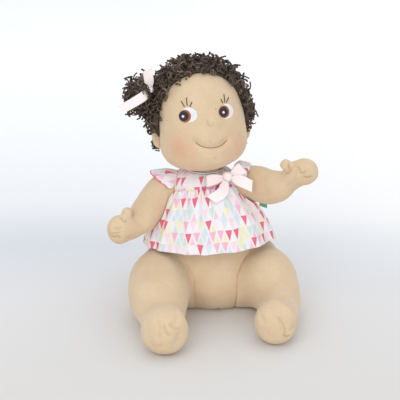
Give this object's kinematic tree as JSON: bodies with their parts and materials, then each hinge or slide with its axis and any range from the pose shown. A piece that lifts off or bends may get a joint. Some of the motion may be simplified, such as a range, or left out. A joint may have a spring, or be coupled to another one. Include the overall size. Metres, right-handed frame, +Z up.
{
  "type": "doll",
  "caption": "Soft weighted doll sitting in a short gathered print dress, with a curly side ponytail, ribbons, and limbs and head that move.",
  "frame": {"origin": "middle of the flat seat panel under the body, on the surface that the doll sits on", "axes": "+Z up, the doll faces -Y, and +X is towards its own left hand"},
  "size_m": [0.1834, 0.1922, 0.2237],
  "materials": {
    "skin_knit": "fine weft knit stretched over filling",
    "pellet_bag_cloth": "plain cloth bag filled with pellets",
    "white_felt": "dense satin stitch",
    "brown_thread": "embroidery thread",
    "dark_thread": "embroidery thread",
    "curly_pile": "curled pile",
    "dark_elastic": "ribbed elastic",
    "blush_satin": "satin ribbon",
    "printed_cotton": "plain woven cotton with a small triangle print",
    "hook_tape": "hook and loop tape",
    "green_tape": "woven tape"
  },
  "bodies": {
    "torso": {"torso": "skin_knit", "seat_panel": "skin_knit", "pellet_bag": "pellet_bag_cloth", "dress_bodice": "printed_cotton", "dress_skirt": "printed_cotton", "neck_binding": "printed_cotton", "left_sleeve": "printed_cotton", "right_sleeve": "printed_cotton", "back_closure": "hook_tape", "side_label": "green_tape", "bow_knot": "blush_satin", "bow_inner_loop": "blush_satin", "bow_outer_loop": "blush_satin", "bow_side_tail": "blush_satin", "bow_lower_tail": "blush_satin"},
    "neck": {"neck": "skin_knit"},
    "head": {"head": "skin_knit", "left_ear": "skin_knit", "right_ear": "skin_knit", "left_eye_white": "white_felt", "left_iris": "brown_thread", "left_pupil": "dark_thread", "left_eye_glint": "white_felt", "left_lash_1": "brown_thread", "left_lash_2": "brown_thread", "left_lash_3": "brown_thread", "right_eye_white": "white_felt", "right_iris": "brown_thread", "right_pupil": "dark_thread", "right_eye_glint": "white_felt", "right_lash_1": "brown_thread", "right_lash_2": "brown_thread", "right_lash_3": "brown_thread", "smile_stitch": "brown_thread", "hair_cap": "curly_pile", "ponytail": "curly_pile", "ponytail_band": "dark_elastic", "hair_ribbon_knot": "blush_satin", "hair_ribbon_long_tail": "blush_satin", "hair_ribbon_short_tail": "blush_satin"},
    "left_arm": {"left_arm": "skin_knit"},
    "right_arm": {"right_arm": "skin_knit"},
    "left_leg": {"left_leg": "skin_knit"},
    "right_leg": {"right_leg": "skin_knit"}
  },
  "joints": [
    {"name": "head_nod", "type": "hinge", "parent": "torso", "child": "neck", "pos_m": [-0.00728, -0.005, 0.12655], "axis": [1, 0, 0], "range_deg": [-4, 5]},
    {"name": "head_turn", "type": "hinge", "parent": "neck", "child": "head", "pos_m": [-0.00728, -0.005, 0.12655], "axis": [-0.1132, 0, 0.9936], "range_deg": [-35, 35]},
    {"name": "left_shoulder", "type": "hinge", "parent": "torso", "child": "left_arm", "pos_m": [0.02431, 0, 0.10801], "axis": [-1, 0, 0], "range_deg": [-20, 70], "deforming": ["left_sleeve"]},
    {"name": "right_shoulder", "type": "hinge", "parent": "torso", "child": "right_arm", "pos_m": [-0.0395, 0, 0.10299], "axis": [-1, 0, 0], "range_deg": [0, 75], "deforming": ["right_sleeve"]},
    {"name": "left_hip", "type": "hinge", "parent": "torso", "child": "left_leg", "pos_m": [0.039, 0, 0.0275], "axis": [1, 0, 0], "range_deg": [0, 70]},
    {"name": "right_hip", "type": "hinge", "parent": "torso", "child": "right_leg", "pos_m": [-0.039, 0, 0.0275], "axis": [1, 0, 0], "range_deg": [0, 70]}
  ]
}
